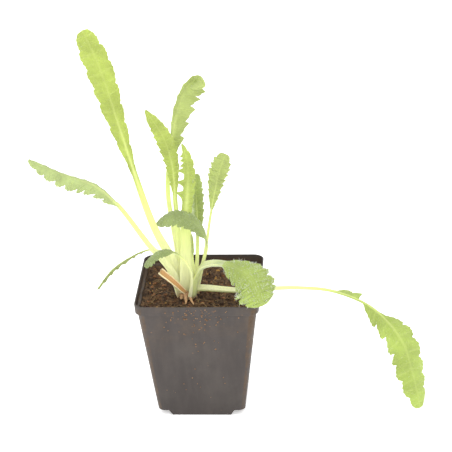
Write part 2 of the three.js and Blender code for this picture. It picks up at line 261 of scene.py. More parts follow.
def leaf_material(name, blade, petiole_foot, petiole_top, rib_share_seen=0.5, through=0.4):
    """Attributes: tissue holds blade, midrib and vein shares; under is 1 beneath; hoary is 1 where the
    surface is white with down; along runs up the petiole."""
    m = Material(name)
    tissue = m.node("ShaderNodeSeparateColor")
    m.join(m.attribute("tissue").outputs["Color"], tissue.inputs["Color"])
    blade_share, rib_share, vein_share = tissue.outputs
    along = m.attribute("along").outputs["Fac"]
    under = m.attribute("under").outputs["Fac"]
    patches = m.ramp(m.noise(70, 4), 0.3, 0.7)
    green = m.mix(patches, shade(blade, 0.74), shade(blade, 1.02))
    green = m.mix(m.math("MULTIPLY", m.ramp(m.noise(900, 2), 0.45, 0.75), 0.3), green, shade(blade, 0.68))
    pale_vein = tuple(0.45 * c + 0.55 * p for c, p in zip(blade, petiole_top))
    green = m.mix(m.math("MULTIPLY", vein_share, 0.3), green, pale_vein)
    net = m.math("MULTIPLY", m.math("SUBTRACT", 1.0, m.ramp(m.cells(620), 0.0, 0.14)), blade_share)
    green = m.mix(m.math("MULTIPLY", net, 0.2), green, pale_vein)
    grain = m.noise(260, 4, vector=m.stretched((3.0, 3.0, 0.25)))
    foot = m.mix(m.ramp(grain, 0.35, 0.7), petiole_foot, shade(petiole_foot, 0.86))
    top = m.mix(m.ramp(grain, 0.35, 0.7), petiole_top, shade(petiole_top, 0.9))
    stalk = m.mix(m.ramp(along, 0.05, 0.95), foot, top)
    browned = m.ramp(m.math("ADD", along, m.math("MULTIPLY", grain, 0.05)), 0.085, 0.03)
    stalk = m.mix(m.math("MULTIPLY", browned, 0.75), stalk, (0.5, 0.3, 0.1))
    body = m.mix(blade_share, stalk, green)
    rib_colour = m.mix(rib_share_seen, green, petiole_top)
    body = m.mix(rib_share, body, rib_colour)
    bloom = tuple(0.6 * channel + 0.4 * 0.8 for channel in blade)
    body = m.mix(m.math("MULTIPLY", under, 0.35), body, bloom)
    down = m.math("MULTIPLY", m.attribute("hoary").outputs["Fac"], m.ramp(m.noise(1300, 3, 0.7), 0.3, 0.6))
    body = m.mix(down, body, (0.8, 0.84, 0.66))
    m.shader("Base Color", body)
    m.shader("Roughness", m.math("ADD", 0.42, m.math("MULTIPLY", m.noise(400, 2), 0.25)))
    m.shader("Specular IOR Level", 0.35)
    m.shader("Sheen Weight", 0.25)
    m.shader("Sheen Roughness", 0.6)
    m.shader("Sheen Tint", (0.95, 1.0, 0.88, 1.0))
    pebbles = m.bump(m.math("SUBTRACT", 1.0, net), 0.00025, 0.5)
    grooves = m.bump(grain, 0.00015, 0.4, after=pebbles)
    normal = m.bump(m.noise(1500, 3), 0.0001, 0.5, after=grooves)
    m.shader("Normal", normal)
    m.let_light_through(m.mix(0.35, body, (0.75, 0.85, 0.12)), through, normal)
    return m.data


def hair_material():
    m = Material("white_hairs")
    m.shader("Base Color", m.mix(m.noise(300, 2), (0.88, 0.91, 0.78), (0.96, 0.97, 0.92)))
    m.shader("Roughness", 0.45)
    m.let_light_through((0.9, 0.95, 0.8, 1.0), 0.35, m.bump(m.noise(4000, 1), 0.00002))
    return m.data


def dry_material(name, pale, dark, stain_and_shade, streak=(4.0, 4.0, 0.5)):
    m = Material(name)
    fibres = m.noise(500, 4, 0.6, m.stretched(streak))
    colour = m.mix(m.ramp(fibres, 0.35, 0.7), pale, dark)
    edge = m.attribute("edge").outputs["Fac"]
    stained_and_shaded = m.mix(m.ramp(fibres, 0.3, 0.75), stain_and_shade, shade(stain_and_shade, 0.7))
    # The edge attribute says where the stain goes; on the cut petiole it also stands for painted shade inside
    # the gutter.
    colour = m.mix(m.math("MULTIPLY", edge, 0.9), colour, stained_and_shaded)
    m.shader("Base Color", colour)
    m.shader("Roughness", m.math("ADD", 0.6, m.math("MULTIPLY", fibres, 0.3)))
    m.shader("Normal", m.bump(fibres, 0.0003, 0.7))
    return m.data


def compost_material(name, dark, light, scale=260):
    m = Material(name)
    crumbs = m.noise(scale, 6, 0.65)
    fine = m.noise(scale * 6, 4, 0.6)
    colour = m.mix(m.ramp(crumbs, 0.38, 0.68), dark, light)
    colour = m.mix(m.math("MULTIPLY", m.ramp(fine, 0.55, 0.8), 0.5), colour, shade(light, 1.7))
    m.shader("Base Color", colour)
    m.shader("Roughness", m.math("ADD", 0.75, m.math("MULTIPLY", fine, 0.2)))
    m.shader("Specular IOR Level", 0.25)
    m.shader("Normal", m.bump(fine, 0.0005, 0.8))
    return m.data


def pot_material():
    m = Material("nursery_pot")
    plastic = (0.048, 0.039, 0.035)
    streaks = m.noise(140, 5, 0.6, m.stretched((1.0, 1.0, 0.12)))
    cloud = m.noise(35, 4)
    colour = m.mix(m.ramp(streaks, 0.3, 0.75), shade(plastic, 0.88), shade(plastic, 1.16))
    colour = m.mix(m.math("MULTIPLY", m.ramp(cloud, 0.45, 0.7), 0.5), colour, (0.072, 0.061, 0.053))
    height = m.node("ShaderNodeSeparateXYZ")
    m.join(m.place(), height.inputs["Vector"])
    # Painted shade: the wall's colour darkens towards the bottom, mixed 14 per cent towards black at the
    # floor.
    rise = m.ramp(height.outputs["Z"], 0.0, POT_HIGH[2] * MM)
    colour = m.mix(rise, m.mix(0.14, colour, (0.0, 0.0, 0.0)), colour)
    near_rim = m.ramp(height.outputs["Z"], POT_HIGH[2] * 0.35 * MM, POT_HIGH[2] * MM)
    film = m.math("MULTIPLY", m.ramp(m.noise(55, 6, 0.65), 0.45, 0.8), near_rim)
    colour = m.mix(m.math("MULTIPLY", film, 0.35), colour, (0.16, 0.11, 0.07))
    inside = m.attribute("inside").outputs["Fac"]
    caked = m.math("MULTIPLY", inside, m.ramp(m.noise(120, 6, 0.7), 0.3, 0.6))
    soil = m.mix(m.noise(500, 4), (0.03, 0.018, 0.01), (0.12, 0.07, 0.035))
    colour = m.mix(m.math("MULTIPLY", caked, 0.8), colour, soil)
    speck_size = m.math("SUBTRACT", 1.0, m.ramp(m.cells(330, "F1"), 0.12, 0.24))
    speck_where = m.ramp(m.noise(75, 3, 0.6), 0.56, 0.66)
    specks = m.math("MULTIPLY", m.math("MULTIPLY", speck_size, speck_where), m.ramp(near_rim, -0.3, 0.9))
    colour = m.mix(m.math("MULTIPLY", specks, 0.75), colour, (0.3, 0.15, 0.065))
    m.shader("Base Color", colour)
    dull = m.math("MAXIMUM", film, specks)
    gloss = m.math("ADD", 0.4, m.math("MULTIPLY", cloud, 0.16))
    m.shader("Roughness", m.math("ADD", gloss, m.math("MULTIPLY", dull, 0.35)))
    m.shader("Specular IOR Level", 0.32)
    ripple = m.bump(m.noise(420, 3), 0.00006, 0.5)
    drawn = m.bump(streaks, 0.00012, 0.5, after=ripple)
    m.shader("Normal", m.bump(specks, 0.0002, 0.6, after=drawn))
    return m.data


# ---- Mesh helpers ----

def make_piece(name, vertices, faces, material, replaced=(), attributes=None):
    """A mesh object from millimetre vertices, riding on the part, with its finish and point attributes."""
    mesh = bpy.data.meshes.new(name)
    mesh.from_pydata((np.asarray(vertices, float) * MM).tolist(), [], [tuple(map(int, f)) for f in faces])
    mesh.validate()
    for key, values in (attributes or {}).items():
        values = np.asarray(values, np.float32)
        kind = "FLOAT_COLOR" if values.ndim == 2 else "FLOAT"
        layer = mesh.attributes.new(key, kind, "POINT")
        layer.data.foreach_set("color" if values.ndim == 2 else "value", values.ravel())
    mesh.shade_smooth()
    mesh.materials.append(material)
    obj = bpy.data.objects.new(name, mesh)
    bpy.context.scene.collection.objects.link(obj)
    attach(obj, "root")
    if replaced:
        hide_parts(*replaced)
    return obj


def sharpen(obj, degrees):
    """Marks edges sharper than the angle, so that the shading breaks there."""
    shape = bmesh.new()
    shape.from_mesh(obj.data)
    for edge in shape.edges:
        if len(edge.link_faces) == 2:
            edge.smooth = edge.calc_face_angle(0.0) < math.radians(degrees)
    shape.to_mesh(obj.data)
    shape.free()


def ring_faces(rows, count, offset=0):
    """Quads between neighbouring closed rings of count points."""
    row, col = np.meshgrid(np.arange(rows - 1), np.arange(count), indexing="ij")
    a = offset + row * count + col
    b = offset + row * count + (col + 1) % count
    return np.stack([a, b, b + count, a + count], -1).reshape(-1, 4).tolist()


def capped(rings, tip=None):
    """Vertices and faces of a closed body through rings, capped by a fan at each end."""
    rings = np.asarray(rings, float)
    rows, count, _ = rings.shape
    ends = [rings[0].mean(0), rings[-1].mean(0) if tip is None else tip]
    vertices = np.vstack([rings.reshape(-1, 3), ends])
    faces = ring_faces(rows, count)
    first, last = rows * count, (rows - 1) * count
    for i in range(count):
        j = (i + 1) % count
        faces.append((first, j, i))
        faces.append((first + 1, last + i, last + j))
    return vertices, faces


def smoothstep(value, low, high):
    x = np.clip((np.asarray(value, float) - low) / (high - low), 0.0, 1.0)
    return x * x * (3 - 2 * x)


def smooth_noise(rng, x, y, cell):
    """Seeded value noise from -1 to 1 over the plane, with one value per cell."""
    gx, gy = np.asarray(x) / cell + 512.0, np.asarray(y) / cell + 512.0
    table = rng.uniform(-1, 1, (64, 64))
    ix, iy = np.floor(gx).astype(int), np.floor(gy).astype(int)
    fx, fy = gx - ix, gy - iy
    fx, fy = fx * fx * (3 - 2 * fx), fy * fy * (3 - 2 * fy)
    at = lambda a, b: table[a % 64, b % 64]
    low = at(ix, iy) * (1 - fx) + at(ix + 1, iy) * fx
    high = at(ix, iy + 1) * (1 - fx) + at(ix + 1, iy + 1) * fx
    return low * (1 - fy) + high * fy


class Rib:
    """The midrib: a centripetal Catmull-Rom curve through given points, by share of its length."""

    def __init__(self, points):
        p = np.array(points, float)
        ends = np.vstack([2 * p[0] - p[1], p, 2 * p[-1] - p[-2]])
        pieces = []
        for i in range(len(p) - 1):
            a, b, c, d = ends[i:i + 4]
            ab, bc, cd = (np.linalg.norm(gap) ** 0.5 for gap in (b - a, c - b, d - c))
            leave = ((b - a) / ab - (c - a) / (ab + bc) + (c - b) / bc) * bc
            arrive = ((c - b) / bc - (d - b) / (bc + cd) + (d - c) / cd) * bc
            s = np.linspace(0, 1, 60)[:, None]
            curve = b + leave * s + (3 * (c - b) - 2 * leave - arrive) * s**2
            curve += (2 * (b - c) + leave + arrive) * s**3
            pieces.append(curve if i == 0 else curve[1:])
        self.points = np.vstack(pieces)
        run = np.linalg.norm(np.diff(self.points, axis=0), axis=1)
        self.length = run.sum()
        self.share = np.concatenate([[0], np.cumsum(run)]) / self.length
        slopes = np.gradient(self.points, self.share, axis=0)
        self.slopes = slopes / np.linalg.norm(slopes, axis=1, keepdims=True)

    def at(self, t):
        return np.stack([np.interp(t, self.share, self.points[:, k]) for k in range(3)], -1)

    def along(self, t):
        slope = np.stack([np.interp(t, self.share, self.slopes[:, k]) for k in range(3)], -1)
        return slope / np.linalg.norm(slope, axis=1, keepdims=True)

    def frames(self, t, faces):
        """Points, tangents, upper-side directions and side directions."""
        along = self.along(t)
        up = faces - (faces * along).sum(1, keepdims=True) * along
        up /= np.linalg.norm(up, axis=1, keepdims=True)
        return self.at(t), along, up, np.cross(along, up)


# ---- Leaves ----

BLADE_THICKNESS = 0.45
SHAGGY = 3000  # a leaf with more hairs than this has longer and thicker ones
ROW_STEP = 0.4  # spacing of the rows across a blade
PETIOLE_STEP = 1.2
COLUMNS = 12  # columns from the midrib to a margin
SWEEP = 0.55  # how far side veins run towards the tip for each millimetre outwards

GREY_GREEN = (0.3, 0.38, 0.14)
FRESH = (0.46, 0.55, 0.12)
YELLOW_GREEN = (0.48, 0.58, 0.13)
SOFT = (0.46, 0.54, 0.19)
PALE_GREEN = (0.47, 0.56, 0.25)
MID_GREEN = (0.41, 0.52, 0.115)
# Painted shade: a darker copy of the leaf greens, for the leaf that stands in shade.
SHADE_DARKENED_GREEN = (0.32, 0.41, 0.1)
HOARY = (0.41, 0.53, 0.1)
CREAM = (0.97, 0.96, 0.66)
LIME = (0.84, 0.9, 0.38)

# Margins are (kind, teeth, depth near the petiole, depth near the tip), for the left and the right half;
# a spiked one is (kind, places, share of the width without spikes, half width of a spike).
# hoary is how white the left and the right margin are with down, and down the same for the whole blade.
# rib_seen is how much paler the midrib is, quilt how deep the blade sinks along its veins, woolly how white
# the petiole is. bare gives, for each half, where the blade is missing and how far it then takes to widen.
LEAVES = [
    dict(name="toothed_centre_leaf",
         rib=[[-7, -13.5, 91], [-8, -12, 126], [-7, -10, 156], [-5, -8, 178], [-5, -9, 194], [-8, -12, 208]],
         face=[[0.2, -1, 0], [0.2, -1, 0.1], [0.3, -0.8, -0.4]],
         start=0.5, petiole=[11, 3, 7.4, 2.6], half_width=8, rise=0.2, blunt=2.6, taper=0.7,
         sides=[1.3, 0.72], fold=12,
         margins=[("spiked", (0.27, 0.43, 0.61, 0.69, 0.77, 0.84), 0.34, 0.068), ("lobed", 8, 0.22, 0.2)],
         blade=YELLOW_GREEN, curl=1.5, rib_seen=0.75, hairs=500),
    dict(name="tall_left_leaf",
         rib=[[-12.5, -13, 91], [-17.5, -9, 111], [-32, -1, 139], [-45, 9, 176], [-57, 18, 215],
              [-68, 26, 251], [-79.5, 28, 280]],
         face=[[0.6, -0.8, 0.2], [0.35, -0.85, 0.4], [0.35, -0.85, 0.4]],
         start=0.42, petiole=[6.8, 3, 4.6, 2.4], half_width=11.4, rise=0.7, blunt=6,
         sides=[1.1, 0.85], fold=10,
         margins=[("lobed", 8, 0.17, 0.13), ("lobed", 8, 0.2, 0.16)], blade=FRESH, curl=1.0, hairs=900),
    dict(name="hairy_front_leaf",
         rib=[[-4, -17.5, 91], [-1, -18, 107], [4, -22, 117], [14, -28, 122], [26, -37, 124],
              [39, -46, 120], [45, -51, 110], [49, -53, 100]],
         face=[[-0.8, 0.3, 0.3], [0.1, -0.5, 0.85], [0.25, -0.85, 0.45]],
         start=0.5, petiole=[7.5, 4.6, 5.4, 4.8], half_width=17, rise=0.35, blunt=4, sides=[1, 1], fold=-8,
         margins=[("scalloped", 7, 0.3, 0.16), ("scalloped", 7, 0.36, 0.16)], blade=HOARY, curl=-3.0,
         rib_seen=0.15, quilt=1.8, down=0.05, woolly=0.4, foot=(0.82, 0.86, 0.32), hairs=6500),
    dict(name="long_right_leaf",
         rib=[[-5, -12, 91.8], [0, -13, 94.6], [6, -14.5, 95.4], [19, -17, 95.6], [34, -19.5, 96.2],
              [50, -21, 98.2], [72, -23, 99.8], [98, -27, 98.8], [126, -33, 88], [146, -39, 66],
              [154, -43, 42], [160, -46, 13]],
         face=[[0, -0.2, 1], [0.1, -0.3, 1], [0.55, -0.8, 0.2]],
         start=0.47, petiole=[4.6, 4.2, 2.4, 1.8], half_width=13.5, rise=0.3, blunt=3, sides=[1.05, 1],
         bare=((0.17, 0.27, 0.2), (0, 0.19, 0.05)), fold=-6,
         margins=[("lobed", 9, 0.34, 0.16), ("lobed", 9, 0.38, 0.2)], blade=MID_GREEN, curl=-1.5,
         hairs=900),
    dict(name="left_arching_leaf",
         rib=[[-13.5, -17, 91], [-20, -14, 110], [-35, -13, 130], [-56, -12, 161], [-71, -13, 176],
              [-96, -15, 187], [-118, -15, 198]],
         face=[[0.6, -0.6, 0.5], [0.3, -0.55, 0.8], [0.2, -0.55, 0.8]],
         start=0.52, petiole=[6, 2.8, 3.4, 2.2], half_width=11, rise=0.35, blunt=2.2, taper=0.65,
         sides=[1, 0.8], fold=-42,
         margins=[("lobed", 9, 0.45, 0.2), ("lobed", 9, 0.4, 0.2)], blade=PALE_GREEN, curl=-1.5,
         hairs=1100),
    dict(name="upright_leaf",
         rib=[[-10, -10, 91], [-13, -9, 124], [-15, -4, 156], [-17, 2, 187], [-23, 5, 207], [-35, 6, 227]],
         face=[[0.1, -1, 0], [0, -0.95, 0.3], [-0.1, -0.9, 0.3]],
         start=0.48, petiole=[4, 2.6, 3.4, 2.2], half_width=6.9, rise=0.8, blunt=2.6, taper=0.85,
         sides=[1, 1], fold=8,
         margins=[("saw", 11, 0.24, 0.14), ("saw", 11, 0.14, 0.1)], blade=FRESH, curl=0.8, hairs=700),
    dict(name="tall_back_leaf",
         rib=[[-12.5, -8.5, 91], [-15.5, -4, 122], [-21, 4, 166], [-17, 9, 199], [-12, 12, 225],
              [-4, 12, 243], [3, 10, 249], [9, 4, 243]],
         face=[[0.3, -0.95, 0], [0.4, -0.85, 0.1], [0.2, -0.85, -0.2]],
         start=0.5, petiole=[3.6, 2.4, 3.4, 2.2], half_width=11, rise=0.6, blunt=5,
         sides=[0.4, 1.25], fold=20,
         margins=[("saw", 9, 0.14, 0.12), ("saw", 7, 0.42, 0.22)], blade=SOFT, curl=1.0,
         rib_reach=1.2, hairs=700),
    dict(name="shaded_leaf",
         rib=[[-4.5, -10, 91], [-1, -8, 114], [0, -4, 136], [0, -3, 153], [0, -4, 169], [1, -7, 183]],
         face=[[-0.2, -1, 0], [0.3, -0.9, 0.2], [0.4, -0.8, 0]],
         start=0.45, petiole=[3, 2.2, 2.4, 1.8], half_width=6, rise=0.35, blunt=2.5, sides=[1, 1], fold=14,
         margins=[("lobed", 8, 0.3, 0.2), ("saw", 8, 0.28, 0.18)], hoary=(0.9, 0.1), blade=SHADE_DARKENED_GREEN,
         curl=1.0, hairs=700),
    dict(name="spoon_leaf",
         rib=[[-4.5, -6.5, 91], [3, -3, 111], [6, 0, 126], [9, 4, 144], [12, 7, 159], [15.5, 9, 174],
              [21.5, 8, 192]],
         face=[[-0.2, -1, 0], [-0.15, -0.95, 0.25], [-0.15, -0.95, 0.1]],
         start=0.56, petiole=[3, 2, 1.7, 1.4], half_width=7.8, rise=0.75, blunt=2.8,
         sides=[1.1, 0.95], fold=6,
         margins=[("saw", 9, 0.24, 0.22), ("saw", 9, 0.28, 0.22)], blade=SOFT, curl=0.5, hairs=500),
    dict(name="small_arching_leaf",
         rib=[[-1.8, -9, 91], [4, -14, 116], [7.5, -18, 131], [5, -21, 143], [-3, -23, 153],
              [-15, -24, 157], [-28, -22, 150]],
         face=[[-0.3, -0.8, 0], [0.3, -0.6, 0.7], [-0.2, -0.6, 0.8]],
         start=0.5, petiole=[2.6, 2, 1.7, 1.4], half_width=8, rise=0.4, blunt=3, taper=0.6,
         sides=[1, 1], fold=-12,
         rib_seen=0.15,
         margins=[("lobed", 7, 0.3, 0.26), ("saw", 9, 0.2, 0.2)], blade=GREY_GREEN, curl=-1.5, hairs=900),
    dict(name="curled_front_leaf",
         rib=[[-6, -21, 90], [-4, -24, 104], [-4, -26, 114], [-8, -28, 124], [-16, -28.5, 131],
              [-27, -27.5, 129], [-38, -24.5, 118]],
         face=[[-0.3, -0.8, 0], [-0.2, -0.4, 0.9], [-0.5, -0.5, 0.7]],
         start=0.62, petiole=[2.2, 1.6, 1.5, 1.3], half_width=5, rise=0.3, blunt=4, sides=[1, 1], fold=-10,
         rib_seen=0.15,
         margins=[("lobed", 6, 0.26, 0.2), ("saw", 7, 0.14, 0.12)], blade=GREY_GREEN, curl=-0.8, hairs=600),
    dict(name="low_left_leaf",
         rib=[[-14, -5, 90], [-19, 1, 108], [-27, 8, 114], [-39, 15, 112.5], [-53, 19, 104.5],
              [-67, 22, 93], [-80, 25, 75]],
         face=[[-0.3, -0.6, 0.7], [0, 0.4, 0.9], [-0.4, 0.4, 0.8]],
         start=0.45, petiole=[2.2, 1.6, 1.7, 1.3], half_width=4, rise=0.3, blunt=2, sides=[1, 1], fold=-6,
         margins=[("saw", 7, 0.4, 0.3), ("saw", 7, 0.4, 0.3)], blade=FRESH, curl=-0.8, hairs=350),
    dict(name="young_leaf",
         rib=[[-4, -14, 96.5], [-3.4, -14, 108], [-3.4, -14.5, 124], [-3.6, -15, 139]],
         face=[[0.9, -0.3, 0], [0.9, -0.3, 0], [0.9, -0.3, 0]],
         start=0.6, petiole=[1.8, 1.4, 1.5, 1.2], half_width=1.5, rise=0.2, blunt=2, sides=[1, 1], fold=20,
         margins=[("lobed", 3, 0.1, 0.1), ("lobed", 3, 0.1, 0.1)], blade=FRESH, curl=0.5, hairs=150),
]

# Where a tooth's point stands in its stretch of the margin, the powers of its two flanks, and how many
# small teeth it carries.
TOOTH_SHAPES = {"lobed": (0.68, 2.4, 2.0, 3), "saw": (0.84, 1.2, 1.3, 1), "scalloped": (0.55, 2.4, 2.2, 2)}


def margin(u, kind, teeth, depth_foot, depth_tip, rng):
    """Share of the blade's width that one margin reaches at u, how near a side vein is, and the tooth."""
    if kind == "spiked":
        return spiked_margin(u, teeth, depth_foot, depth_tip)
    peak, rise, fall, small = TOOTH_SHAPES[kind]
    edges = np.linspace(0, 1, teeth + 1)
    edges[1:-1] += rng.uniform(-0.18, 0.18, teeth - 1) / teeth
    scale = rng.uniform(0.7, 1.25, teeth)
    which = np.clip(np.searchsorted(edges, u, side="right") - 1, 0, teeth - 1)
    f = (u - edges[which]) / (edges[which + 1] - edges[which])
    before = np.clip((peak - f) / peak, 0, 1)
    after = np.clip((f - peak) / (1 - peak), 0, 1)
    lobe = (1 - before**rise) * (1 - after**fall)
    depth = (depth_foot + (depth_tip - depth_foot) * u) * scale[which]
    share = 1 - depth * (1 - lobe)
    fine = (f * (small + 1) + 0.2) % 1.0
    share *= 1 - (0.03 + 0.22 * depth) * (1 - np.minimum(fine / 0.7, (1 - fine) / 0.3))
    spacing = 1 / teeth
    vein = np.exp(-(((f - peak + 0.05) * spacing / 0.0065) ** 2))
    half_vein = np.exp(-(((f - peak + 0.5) * spacing / 0.005) ** 2))
    return share, np.maximum(vein, 0.5 * half_vein), which + f


def spiked_margin(u, places, body, width):
    """A narrow body with a curved spike at each place."""
    share = np.full_like(u, body)
    vein = np.zeros_like(u)
    for place in places:
        half = width * (1.15 - 0.6 * place)
        spike = np.clip(1 - np.abs(u - place) / half, 0, 1) ** 1.3
        size = 1.0 if place < 0.62 else 0.8
        share = np.maximum(share, body + (size - body) * spike)
        vein = np.maximum(vein, np.exp(-(((u - place) / 0.007) ** 2)))
    return share, vein, u * len(places)


def blade_outline(leaf, u):
    raw = lambda v: v ** leaf["rise"] * np.maximum(0, 1 - v ** leaf["blunt"]) ** leaf.get("taper", 0.5)
    return leaf["half_width"] * raw(u) / raw(np.linspace(0, 1, 51)).max()


def leaf_surface(leaf, seed):
    """The closed surface of a leaf as rings of points, with the shares that colour it."""
    rng = np.random.default_rng(seed)
    rib = Rib(leaf["rib"])
    start = leaf["start"]
    stalk_rows = int(rib.length * start / PETIOLE_STEP)
    blade_rows = int(rib.length * (1 - start) / ROW_STEP)
    t = np.concatenate([
        np.linspace(0, start, stalk_rows, endpoint=False),
        start + (1 - start) * np.linspace(0, 0.985, blade_rows),
    ])
    u = np.clip((t - start) / (1 - start), 0, 1)
    down = np.minimum(1, t / start)[:, None]
    hints = np.array(leaf["face"], float)
    faces = np.where(u[:, None] > 0, hints[1] + (hints[2] - hints[1]) * u[:, None],
                     hints[0] + (hints[1] - hints[0]) * down)
    point, along, up, side = rib.frames(t, faces)
    foot_width, foot_thick, end_width, end_thick = leaf["petiole"]
    down = down[:, 0]
    stalk_half = (foot_width + (end_width - foot_width) * down) / 2 * (1 - 0.8 * u)
    stalk_half *= 1 + 0.3 * (1 - smoothstep(t, 0.03, 0.3))
    rib_half = (foot_thick + (end_thick - foot_thick) * down) / 2 * (1 - 0.75 * u)
    outline = blade_outline(leaf, u)

    n = COLUMNS
    across = np.sin(np.arange(n + 1) / n * math.pi / 2)
    halves = {}
    for index, sign in enumerate((-1, 1)):
        share, vein, phase = margin(u, *leaf["margins"][index], rng)
        begun = smoothstep(u, -0.02, 0.05)
        if "bare" in leaf:
            first, last, run = leaf["bare"][index]
            begun = begun * (1 - smoothstep(u, first - 0.04, first) * (1 - smoothstep(u, last, last + run)))
        reach = outline * leaf["sides"][index] * share * begun * (u > 0)
        width = np.maximum(np.maximum(stalk_half, reach), 0.25)
        blade = smoothstep(reach / np.maximum(stalk_half, 0.2), 0.9, 1.7)[:, None]
        x = across[None, :]
        d = width[:, None] * x
        angle = math.radians(leaf["fold"]) * blade
        raised, sideways = up[:, None, :], sign * side[:, None, :]
        lean, flat = np.sin(angle)[..., None], np.cos(angle)[..., None]
        normal = raised * flat - sideways * lean
        outward = sideways * flat + raised * lean
        sweep = SWEEP * (1 - u)[:, None] * blade
        lobe_wave = np.sin(2 * math.pi * phase)[:, None] * x**2 * 0.05 * width[:, None]
        long_wave = np.sin(u * 9.0 + seed + 2 * index)[:, None] * x**2 * 0.07 * width[:, None]
        fade = smoothstep(x, 0.04, 0.25) * (1 - smoothstep(x, 0.8, 1.0))
        groove = -0.35 * vein[:, None] * fade + 0.25 * np.sin(math.pi * x) * (1 - vein[:, None])
        groove = groove * leaf.get("quilt", 1.0)
        curl = leaf["curl"] * x**2 * (width / leaf["half_width"])[:, None]
        lift = (curl + lobe_wave + long_wave + groove) * blade
        clasp = (1 - smoothstep(t, 0.02, 0.3))[:, None] * d**2 / max(foot_width, 3.0) * 0.55
        middle = point[:, None, :] + outward * d[..., None] + along[:, None, :] * (sweep * d)[..., None]
        middle = middle + normal * (lift + clasp)[..., None]

        stalk_arc = np.sqrt(np.maximum(0, 1 - x**2))
        channel = 1 - 0.75 * (1 - x**2) * smoothstep(stalk_half, 0.8, 2.2)[:, None]
        ridge = np.exp(-((d / np.maximum(stalk_half[:, None] * 0.8, 0.2)) ** 2))
        skin = BLADE_THICKNESS / 2 * np.sqrt(np.maximum(0, 1 - x**6))
        edge = np.sqrt(np.maximum(0, 1 - x**4))
        top_stalk = rib_half[:, None] * stalk_arc * channel
        top_blade = skin + 0.12 * rib_half[:, None] * ridge * edge
        low_stalk = rib_half[:, None] * stalk_arc
        low_blade = skin + 0.95 * rib_half[:, None] * ridge * edge + 0.18 * vein[:, None] * fade
        top = middle + normal * (top_stalk * (1 - blade) + top_blade * blade)[..., None]
        low = middle - normal * (low_stalk * (1 - blade) + low_blade * blade)[..., None]
        rib_reach = np.maximum(stalk_half[:, None] * leaf.get("rib_reach", 0.55), 0.25)
        rib_mask = np.exp(-((d / rib_reach) ** 2))
        rib_mask = rib_mask * smoothstep(t, start - 0.12, start - 0.02)[:, None]
        rib_mask = rib_mask * (1.0 - 0.8 * smoothstep(u, 0.0, 0.65))[:, None]
        greened = np.clip(smoothstep(t, start - 0.1, start + 0.08)[:, None] + 0.4 * blade * x, 0, 1)
        woolly = leaf.get("woolly", 0.0) * smoothstep(t, 0.22, 0.36)[:, None]
        hoary = leaf.get("down", 0.0) + leaf.get("hoary", (0.0, 0.0))[index] * smoothstep(x, 0.2, 0.9)
        tissue_rows = np.stack([
            greened,
            np.clip(rib_mask, 0, 1),
            vein[:, None] * fade * blade,
            np.clip(np.maximum(hoary * blade, woolly * (1 - blade)), 0, 1) + 0 * d,
        ], -1)
        halves[sign] = (top, low, tissue_rows)

    top = np.concatenate([halves[-1][0][:, :0:-1], halves[1][0]], 1)
    low = np.concatenate([halves[1][1][:, -2:0:-1], halves[-1][1][:, :-1]], 1)
    rings = np.concatenate([top, low], 1)[:, ::-1]
    top_tissue = np.concatenate([halves[-1][2][:, :0:-1], halves[1][2]], 1)
    low_tissue = np.concatenate([halves[1][2][:, -2:0:-1], halves[-1][2][:, :-1]], 1)
    tissue = np.concatenate([top_tissue, low_tissue], 1)[:, ::-1]
    under = np.concatenate([np.zeros(top.shape[:2]), np.ones(low.shape[:2])], 1)[:, ::-1]
    along_share = np.repeat(np.minimum(1, t / start)[:, None], rings.shape[1], 1)
    return rings, tissue, under, along_share, rib.at(np.array([0.995]))[0]


def hair_strands(roots, directions, lengths, radius, bend):
    """Closed three-sided hairs, each bent once on the way to its point."""
    count = len(roots)
    directions = directions / np.linalg.norm(directions, axis=1, keepdims=True)
    helper = np.where(np.abs(directions[:, 2:3]) > 0.9, [[1.0, 0, 0]], [[0, 0, 1.0]])
    first = np.cross(directions, helper)
    first /= np.linalg.norm(first, axis=1, keepdims=True)
    second = np.cross(directions, first)
    middle = roots + directions * lengths[:, None] * 0.55
    tip = middle + (directions + bend) * lengths[:, None] * 0.45
    vertices = np.empty((count, 7, 3))
    for k in range(3):
        angle = 2 * math.pi * k / 3
        spoke = (first * math.cos(angle) + second * math.sin(angle)) * radius
        vertices[:, k] = roots + spoke
        vertices[:, 3 + k] = middle + spoke * 0.7
    vertices[:, 6] = tip
    pattern = [(0, 2, 1)]
    for k in range(3):
        j = (k + 1) % 3
        pattern += [(k, j, 3 + j), (k, 3 + j, 3 + k), (3 + k, 3 + j, 6)]
    faces = (np.arange(count)[:, None, None] * 7 + np.array(pattern)[None]).reshape(-1, 3)
    return vertices.reshape(-1, 3), faces.tolist()


def leaf_hairs(leaf, rings, tissue, seed):
    """Root places, directions and lengths of hairs spread over a leaf, thickest on its margins and ribs."""
    rng = np.random.default_rng(seed + 500)
    rows, count, _ = rings.shape
    down_leaf = np.gradient(rings, axis=0)
    round_leaf = np.roll(rings, -1, 1) - np.roll(rings, 1, 1)
    normals = np.cross(round_leaf, down_leaf)
    size = np.linalg.norm(normals, axis=2)
    normals /= np.maximum(size, 1e-9)[..., None]
    weight = size.copy()
    margins = np.zeros(count, bool)
    margins[[count - 1, count - 1 - 2 * COLUMNS]] = True
    weight[:, margins] *= 14
    weight *= 1 + 8 * tissue[..., 3]
    weight *= 1 + 1.5 * tissue[..., 1] + 1.5 * (1 - tissue[..., 0])
    weight[-3:] = 0
    pick = rng.choice(rows * count, leaf["hairs"], p=(weight / weight.sum()).ravel())
    row, col = np.divmod(pick, count)
    jitter = rng.uniform(0, 1, (len(pick), 1))
    roots = rings[row, col] * (1 - jitter) + rings[np.minimum(row + 1, rows - 1), col] * jitter
    slope = down_leaf[row, col]
    slope /= np.maximum(np.linalg.norm(slope, axis=1, keepdims=True), 1e-9)
    directions = normals[row, col] + 0.5 * slope + rng.normal(0, 0.3, (len(pick), 3))
    longest = 2.6 if leaf["hairs"] > SHAGGY else 1.8
    lengths = rng.uniform(0.45, 1.0, len(pick)) * longest
    return roots, directions, lengths, rng.normal(0, 0.35, (len(pick), 3))


